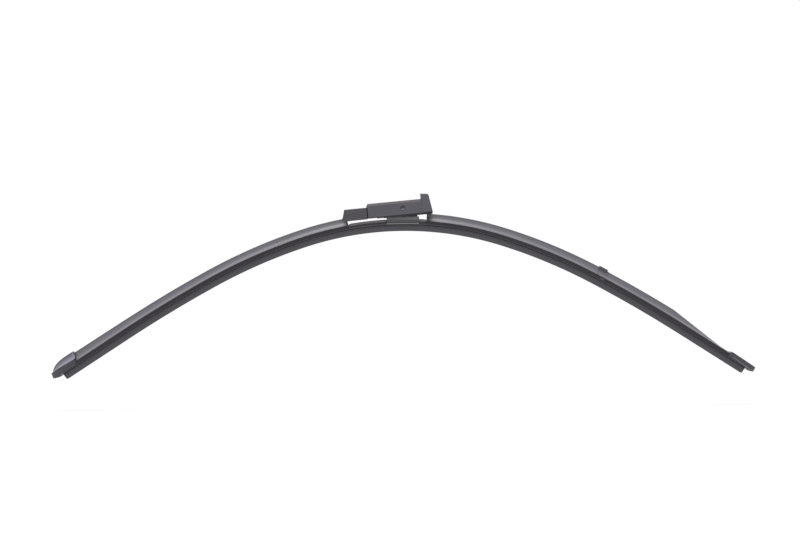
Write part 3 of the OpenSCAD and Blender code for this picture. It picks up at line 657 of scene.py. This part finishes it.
grid, u = crown(crown_section)
rise = (crown_section[:, 1] - CROWN_LOW) / (CROWN_TOP - CROWN_LOW)
# Painted light on the crown: light along the lip, darkening towards the crest
tone = np.interp(rise, [0.1, 0.28, 0.6, 0.8, 0.93], [1.0, 0.6, 0.5, 0.35, 0.0])
past_rim = (u - LEAD - RIM_LEN)[:, None]
tone = np.where(past_rim < -0.1, 0.15, np.where(past_rim < 0.1, 0.95, tone))  # painted shade on the rim, a painted highlight on the line behind it
SLEEVE_UNDER, SLEEVE_OVER = 6.0, 0.7  # how far the sleeve reaches under the crown and over the spoiler
sleeve = spoiler_profile[:n_out].copy()
lean = -0.4 * (CREST[1] + CREST_R - sleeve[:, 1])
sleeve[:, 1] += 0.1 * np.maximum(sleeve[:, 1] - TOE_TOP, 0)
sleeve_run = strip(shrunk(sleeve, 0.08), -(CAP_START + SLEEVE_UNDER), -(CAP_START - SLEEVE_OVER), slant=lean)
sleeve_run[3][:] = 1  # the number of the caps' material, painted dark as shade
crown_skin = closed_grid(grid, tone=tone)
dress(piece("heel_cap_crown", [crown_skin, sleeve_run], [crown_plastic, cap_painted_shade]), "blade", "cap", "heel_cap")

# %% [markdown]
# ## Rounded solids
# The other moulded parts are straight-sided with rounded edges. The CAD solids already have their true shape,
# so a copy gets its loose triangles merged, its flat faces joined, and a bevel on every crisp edge. Before the
# bevel, a step may cut the copy or give some of its faces another finish.


# %% Copies of CAD solids with rounded edges
def eased(node, name, radius_mm, materials, change=None):
    """A copy of a CAD node with a bevel of this radius on each edge that turns by more than 28 degrees."""
    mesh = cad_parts[node].data.copy()
    mesh.name = name
    mesh.materials.clear()
    work = bmesh.new()
    work.from_mesh(mesh)
    bmesh.ops.remove_doubles(work, verts=work.verts, dist=1e-6)
    bmesh.ops.dissolve_limit(work, angle_limit=math.radians(1.0), verts=work.verts, edges=work.edges)
    if change is not None:
        change(work)
    work.to_mesh(mesh)
    work.free()
    obj = shown(name, mesh, materials, 30)
    bevel = obj.modifiers.new("eased edges", "BEVEL")
    bevel.width = radius_mm * MM
    bevel.segments = 3
    bevel.limit_method = "ANGLE"
    bevel.angle_limit = math.radians(28)
    bevel.harden_normals = True
    print(f"{name}: {len(mesh.polygons)} faces before its bevel")
    return obj


def cut_above(work, point, normal):
    """Takes off all that lies above a plane and closes the cut with one face. Lengths are in mm."""
    both = bmesh.ops.bisect_plane(work, geom=work.verts[:] + work.edges[:] + work.faces[:],
                                  plane_co=Vector(point) * MM, plane_no=Vector(normal), clear_outer=True)
    edges = [e for e in both["geom_cut"] if isinstance(e, bmesh.types.BMEdge)]
    bmesh.ops.edgeloop_fill(work, edges=edges)
    bmesh.ops.recalc_face_normals(work, faces=work.faces)


# %% [markdown]
# ## The caps' bodies
# The heel cap's body and the tip cap are plain, painted dark as shade. The heel cap's copy loses the crown,
# which the loft above stands for. The tip cap has one fine moulded bead along its sides, where the two halves of
# the mould met, lighter with a painted highlight.

# %% Bodies of the caps
BODY_IN, BODY_LEAN = 2.6, 0.45  # how far out the heel cap's body begins, and how much its inner end leans


def heel_body_only(work):
    """Leaves what is below the crown's lower edge, as one flat top, and cuts the inner end on the joint's slant.

    The upper points go straight up or down to the plane of the edge, and from there up by as much as the
    crown's edge has risen at their distance from the inner end."""
    x, z, tilt = (float(v) for v in rail_line(-CAP_START))
    outwards, normal = (-math.cos(tilt), 0, math.sin(tilt)), (math.sin(tilt), 0, math.cos(tilt))
    up = CROWN_LOW - 0.03 - RAIL_H
    edge = Vector((x + up * normal[0], 0, z + up * normal[2]))
    cut_above(work, edge, normal)
    for v in work.verts:
        away = v.co - edge * MM
        if away.dot(Vector(normal)) > -1.2 * MM:
            v.co.z += CROWN_RISE * max(away.dot(Vector(outwards)), 0) - away.dot(Vector(normal)) / normal[2]
    bmesh.ops.remove_doubles(work, verts=work.verts, dist=2e-5)
    bmesh.ops.dissolve_degenerate(work, edges=work.edges, dist=1e-5)
    bmesh.ops.dissolve_limit(work, angle_limit=math.radians(1.0), verts=work.verts, edges=work.edges)
    cut_above(work, edge + BODY_IN * Vector(outwards), tuple(-(np.array(outwards) + BODY_LEAN * np.array(normal))))


dress(eased("heel_cap", "heel_cap_body", 0.25, [cap_painted_shade], heel_body_only), "blade", "cap", "heel_cap")
dress(eased("tip_cap", "tip_cap_shell", 0.3, [cap_painted_shade]), "blade", "cap", "tip_cap")


def bead(start, straight, full, half, height, fall, radius):
    """A ridge along one side of a cap, round its end and back along the other side.

    In plan the path is a straight line, half an ellipse and a straight line. Its height falls by this much
    for each millimetre. The section is a circle about the path, in the plane of the path's outward normal."""
    turn = np.radians(np.linspace(-90, 90, 25))
    u = np.concatenate([np.linspace(start, straight, 8)[:-1], straight + (full - straight) * np.cos(turn),
                        np.linspace(straight, start, 8)[1:]])
    y = np.concatenate([np.full(7, -half), half * np.sin(turn), np.full(7, half)])
    out = np.concatenate([np.tile([0, -1.0], (7, 1)),
                          np.stack([np.cos(turn) * half, np.sin(turn) * (full - straight)], -1),
                          np.tile([0, 1.0], (7, 1))])
    out /= np.linalg.norm(out, axis=1, keepdims=True)
    ring = np.radians(np.arange(0, 360, 45))
    o, dh = radius * np.cos(ring)[None, :], radius * np.sin(ring)[None, :]
    level = (height - fall * (u - start))[:, None]
    return closed_grid(place(CAP_START + u[:, None] + o * out[:, :1], y[:, None] + o * out[:, 1:], level + dh))


tip_ridge = bead(start=4.0, straight=20.0, full=25.95, half=6.3, height=7.25, fall=0.055, radius=0.3)
# The bead takes the ledges' painted highlight
dress(piece("tip_cap_bead", [tip_ridge], [ledge_painted_highlight]), "blade", "cap", "tip_cap")

# %% [markdown]
# ## The saddle
# The saddle grips the rails with a block whose flanks swell outwards, above a thin ledge with a painted
# highlight. The adapter shades it from above, yet the upper half of its flank is light, so that light is painted
# into its tone. The block is a profile here, and the neck and ear that carry the pin are cut from the CAD copy,
# dark with painted shade.

# %% Saddle
SADDLE_HALF, SADDLE_TOP = 13.9, 12.1
PIVOT_Z = PIVOT_H + RAIL_H  # height of the pin over the wiping edge
flank = [(-6.7, 5.5), (-6.7, 6.4), (-5.8, 6.5), (-6.0, 8.0), (-5.8, 9.4), (-5.4, 10.8), (-4.8, SADDLE_TOP)]
ease = [0.12, 0.3, 0.1, 0.4, 0.6, 0.5, 0.3]
around = np.concatenate([soft(flank + [(-y, h) for y, h in flank[::-1]], ease + ease[::-1], 4),
                         [(3.0, 5.5)], inside[1:-1], [(-3.0, 5.5)]])
is_ledge = ((np.abs(around[:, 0]) > 6.05) & (around[:, 1] < 6.6)).astype(int)
# Painted light: dark low on the flank, light on its upper half
flank_painted_light = np.interp(around[:, 1], [8.4, 9.3, 10.2, 11.0, 12.1], [0.0, 0.3, 0.65, 0.95, 0.7])
block = straight_grid(around - [0, PIVOT_Z], -SADDLE_HALF, SADDLE_HALF, 0.25)
block_run = closed_grid(block, is_ledge, flank_painted_light)
dress(piece("saddle_block", [block_run], [saddle_plastic, ledge_painted_highlight]), "blade", "saddle", "saddle")


def neck_only(work):
    """Leaves the neck and the ear: all that is above the block's top, by turning the cut upside down."""
    cut_above(work, (0, 0, SADDLE_TOP - 0.05 - PIVOT_Z), (0, 0, -1))


# The neck and ear, under the adapter, are dark with painted shade
dress(eased("saddle", "saddle_neck", 0.2, [painted_shade_plastic], neck_only), "blade", "saddle", "saddle")

# %% [markdown]
# ## The adapter
# The arm's end slides into the adapter. Its box has a flat bevel along the top, brown and dull, and an inside
# and underside that are dark with painted shade. Which finish a face gets follows from its normal, in the
# adapter's own tilted frame.

# %% Adapter
TILT = math.radians(5.0)
INTO = np.array([[math.cos(TILT), 0, math.sin(TILT)], [0, 1, 0], [-math.sin(TILT), 0, math.cos(TILT)]])
ADAPTER_UP = Vector(INTO[2])
BOX_BACK, BOX_TOP, BOX_LOW, BOX_HALF = 30.2, 6.35, 6.1, 8.5  # the solid: low end, roof, underside, half width
BEVEL, WIDER, CHAMFER, SINK = 1.5, 0.7, 0.6, 0.55  # the solid's bevel and its gain, lower chamfer, bore mouth
SHADE_BELOW, TAIL_FROM, TAIL_OUT = -5.4, 19, 0.7  # the side takes painted shade below this; start of the tail; gain at its corner
TONGUE_DOWN, NOSE_UP, NOSE_DOWN, FOOT_OUT = 1.45, 0.5, 0.25, 0.8  # how far the nose's parts move


def in_adapter(v):
    """The point or direction v, in the frame that is turned with the adapter."""
    return Vector(INTO @ np.array(v))


def box_finishes(work):
    """Sinks the bore's mouths, widens the bevel along the top, chamfers the lower edges and fills out the tail.

    Bevels take the rim's finish, and inner faces, downward faces and the side's lowest band, chamfers included, take
    painted shade."""
    mouth = [e for e in work.edges if all(math.hypot(v.co.x, v.co.z) < 1.8 * MM for v in e.verts)
             and all(abs(abs(v.co.y) - BOX_HALF * MM) < 0.05 * MM for v in e.verts)]
    bmesh.ops.bevel(work, geom=mouth, offset=SINK * MM, segments=2, profile=0.5, affect="EDGES")
    bmesh.ops.bisect_plane(work, geom=work.verts[:] + work.edges[:] + work.faces[:],
                           plane_co=ADAPTER_UP * SHADE_BELOW * MM, plane_no=ADAPTER_UP)
    for v in work.verts:
        p = in_adapter(v.co) / MM
        if abs(p.z - BOX_TOP + BEVEL) < 0.05 and abs(abs(p.y) - BOX_HALF) < 0.05:
            v.co -= ADAPTER_UP * WIDER * MM
        if p.z < -BOX_LOW + 0.1 and abs(p.y) > BOX_HALF - 0.1:
            v.co.y -= math.copysign(CHAMFER, p.y) * MM
        if p.x > TAIL_FROM:
            v.co.x += TAIL_OUT * min(max((p.z - 4) / 4, 0), 1) * MM
    work.normal_update()
    for face in work.faces:
        n, c = in_adapter(face.normal), in_adapter(face.calc_center_median()) / MM
        inner = abs(c.y) < BOX_HALF - 0.3 and c.y * n.y < -0.01 or math.hypot(c.x, c.z) < 1.8 and abs(n.y) < 0.5
        # Painted shade: inner and downward faces, and the side's lowest band, take the dark material
        in_painted_shade = inner or n.z < -0.6 or c.z < SHADE_BELOW and abs(n.y) > 0.3
        blended = c.x > 10 and n.x < -0.3
        face.material_index = 2 if in_painted_shade else 1 if 0.3 < abs(n.y) < 0.97 and not blended else 0


def nose_finishes(work):
    """Lowers the tongue's edge to the box's, makes the nose a little taller, flares its foot and gives painted shade
    to its end against the box and to its inner and downward faces.
    """
    for v in work.verts:
        p = in_adapter(v.co) / MM
        if abs(p.z + 4.5) < 0.05 and p.x > -BOX_BACK - 2.2:
            v.co -= ADAPTER_UP * TONGUE_DOWN * MM
        if p.z > 1.5:
            v.co += ADAPTER_UP * NOSE_UP * MM
        if p.z < -5.5 and p.x < -BOX_BACK - 2.2:
            v.co -= ADAPTER_UP * NOSE_DOWN * MM
        if p.z < -5.5 and p.x < -BOX_BACK - 18:
            v.co.x -= FOOT_OUT * MM
    work.normal_update()
    for face in work.faces:
        n, c = in_adapter(face.normal), in_adapter(face.calc_center_median()) / MM
        # Painted shade: the end against the box and the inner and downward faces take the dark material
        face.material_index = 1 if c.x > -BOX_BACK - 0.75 or c.y * n.y < -0.01 or n.z < -0.6 else 0


box = eased("adapter_body", "adapter_box", 0.3, [adapter_plastic, rim_plastic, painted_shade_plastic], box_finishes)
nose = eased("adapter_nose", "adapter_nose_shell", 0.2, [nose_plastic, painted_shade_plastic], nose_finishes)
dress(box, "adapter", "adapter", "adapter_body")
dress(nose, "adapter", "adapter", "adapter_nose")

# %% [markdown]
# Two small things hang below the box's edge: the tab of the nose's catch, and the two lips of the channel in
# which the arm slides, which are dark with painted shade and show as a dark band under the box. They are
# straight bars in the adapter's frame.
# INTO turns a column of coordinates into that frame, so a row of them times INTO is turned back.

# %% Catch tab and channel lips
def adapter_bar(start, end, inner, outer, low, top):
    """A bar along the adapter, between these sideways distances and heights in its own frame."""
    outline = soft([(inner, low), (outer, low), (outer, top), (inner, top)], 0.2, 3)
    return closed_grid(straight_grid(outline, start, end, 0.2) @ INTO)


tab = adapter_bar(-22.8, -16.6, -8.2, -7.0, -6.9, -5.9)
# The lips are dark with painted shade: the band of shade under the box
lips = [adapter_bar(-17.0, 25.0, y - 0.5, y + 0.5, -7.05, -5.6) for y in (-7.3, 7.3)]
dress(piece("adapter_catch_tab", [tab], [rim_plastic]), "adapter", "adapter", "adapter_nose")
dress(piece("adapter_channel_lips", lips, [painted_shade_plastic]), "adapter", "adapter", "adapter_body")

# %% [markdown]
# ## The hinge pin
# The pin is turned from steel, with a shallow dish in each end. The dish is dark above and light below, as any
# hollow is under a lamp overhead, and that is what one sees of the pin in the bore. The pale sheet under the
# blade would wash that out, so it is stored as a tone. The pin is a lathe shape: a profile of radius and length,
# turned round the axis.

# %% Hinge pin
PIN_R, PIN_HALF, DISH_R, DISH, SIDES = 1.7, 7.8, 1.35, 0.75, 48
r = np.linspace(0.02, DISH_R, 9)  # the hole of 0.02 mm at the middle is closed by the end face
end = np.concatenate([np.stack([r, PIN_HALF - DISH * (1 - (r / DISH_R) ** 2)], -1),
                      [(PIN_R - 0.2, PIN_HALF), (PIN_R, PIN_HALF - 0.25)]])
lathe = np.concatenate([end * [1, -1], end[::-1]])
angle = np.linspace(0, 2 * math.pi, SIDES, endpoint=False)
pin_grid = np.stack([lathe[:, :1] * np.cos(angle), np.broadcast_to(lathe[:, 1:], (len(lathe), SIDES)),
                     lathe[:, :1] * np.sin(angle)], -1)
# painted shade on the dish's upper part, painted light on its lower part
dish_painted_light = np.interp(pin_grid[..., 2], [-0.75, -0.25], [1.0, 0.0])
pin = piece("hinge_pin_turned", [closed_grid(pin_grid, tone=dish_painted_light)], [pin_steel])
dress(pin, "blade", "pin_steel", "hinge_pin")

# %% [markdown]
# ## Camera
# The photograph was taken square on to the blade's flank from far away, so the lens is long. The pin's pixel
# and the millimetres that a pixel covers are known, and give the camera's aim and focal length.

# %% Camera
PIXELS, ROWS, SENSOR = 800, 533, 36  # the picture in pixels, the sensor's width in mm
PX = 0.86  # millimetres that one pixel of the photograph covers
PIVOT_AT = (402.8, 208.2)  # pixel of the hinge pin
ELEVATION, ROLL, DISTANCE = math.radians(0.8), math.radians(0.52), 1.6

back = Vector((0, -math.cos(ELEVATION), math.sin(ELEVATION)))
right = Vector((math.cos(ROLL), 0, -math.sin(ROLL)))
up = back.cross(right).normalized()
right = up.cross(back)
aim = (-(PIVOT_AT[0] - PIXELS / 2) * right + (PIVOT_AT[1] - ROWS / 2) * up) * PX * MM
camera = bpy.data.objects.new("camera", bpy.data.cameras.new("camera"))
bpy.context.scene.collection.objects.link(camera)
camera.matrix_world = Matrix((right, up, back)).transposed().to_4x4()
camera.location = aim + back * DISTANCE
camera.data.sensor_width = SENSOR
camera.data.lens = SENSOR * DISTANCE / (PIXELS * PX * MM)
camera.data.clip_end = 50
bpy.context.scene.camera = camera
print("lens, mm:", round(camera.data.lens, 1))

# %% [markdown]
# ## Light and ground
# The photograph is a product shot on plain white with soft light from above. A large lamp above gives the
# shapes, and an even world fills the rest. The lamp is a sun, as even over the floor as over the blade, and
# its wide spread makes it soft. The world shows as pure white to the camera and in reflections.
# The blade is held by its adapter, and its ends dip as it turns on the hinge pin. So the floor, a pale sheet
# that keeps the shadow, lies just under the lowest point that an end reaches.

# %% Light, world and floor
WORLD_LEVEL, LAMP_LEVEL = 0.5, 2.6  # strength of the world and of the lamp
LAMP_FROM, LAMP_SPREAD = Vector((-0.1, 0.03, 1.0)), math.radians(40)
FLOOR_GLOW = 0.85  # share of plain white in the floor as the camera sees it; the rest shows the shadow


def seen_by(tree, *rays):
    """An output that is 1 for these kinds of ray and 0 for all others."""
    path = add(tree, "ShaderNodeLightPath")
    seen = path.outputs[rays[0]]
    for ray in rays[1:]:
        seen = add(tree, "ShaderNodeMath", [(0, seen), (1, path.outputs[ray])], operation="MAXIMUM").outputs[0]
    return seen


scene = bpy.context.scene
scene.view_settings.view_transform = "Standard"
world = bpy.data.worlds.new("white_studio")
scene.world = world
world.use_nodes = True
tree = world.node_tree
seen = seen_by(tree, "Is Camera Ray", "Is Glossy Ray", "Is Transmission Ray")
level = add(tree, "ShaderNodeMapRange", [("Value", seen)])
level.inputs["To Min"].default_value = WORLD_LEVEL
background = tree.nodes["Background"]
background.inputs["Color"].default_value = (1, 1, 1, 1)
tree.links.new(level.outputs["Result"], background.inputs["Strength"])

lamp = bpy.data.objects.new("softbox_above", bpy.data.lights.new("softbox_above", "SUN"))
scene.collection.objects.link(lamp)
lamp.rotation_euler = LAMP_FROM.to_track_quat("Z", "Y").to_euler()
lamp.data.energy = LAMP_LEVEL
lamp.data.angle = LAMP_SPREAD

ground = bpy.data.meshes.new("floor")
DIP = math.radians(5)  # the hinge's wider limit
GROUND_Z = cad_low.z * math.cos(DIP) + cad_low.x * math.sin(DIP) - 1 * MM  # the heel's corner turned about the pin
ground.from_pydata([(x, y, GROUND_Z) for x, y in ((-3, -3), (3, -3), (3, 3), (-3, 3))], [], [(0, 1, 2, 3)])
floor = bpy.data.objects.new("floor", ground)
scene.collection.objects.link(floor)
sheet, sheet_shader = finish("white_studio_sheet", 0.9)
sheet_shader.inputs["Base Color"].default_value = linear("#f4f4f4")
sheet_shader.inputs["Specular IOR Level"].default_value = 0.0
tree = sheet.node_tree
seen = seen_by(tree, "Is Camera Ray", "Is Glossy Ray")
share = add(tree, "ShaderNodeMath", [(0, seen)], operation="MULTIPLY")
share.inputs[1].default_value = FLOOR_GLOW
glow = add(tree, "ShaderNodeEmission", Strength=1.0)
blend = add(tree, "ShaderNodeMixShader", [("Fac", share.outputs[0])])
tree.links.new(sheet_shader.outputs["BSDF"], blend.inputs[1])
tree.links.new(glow.outputs["Emission"], blend.inputs[2])
tree.links.new(blend.outputs["Shader"], tree.nodes["Material Output"].inputs["Surface"])
ground.materials.append(sheet)
print("floor at", round(GROUND_Z / MM, 1), "mm")
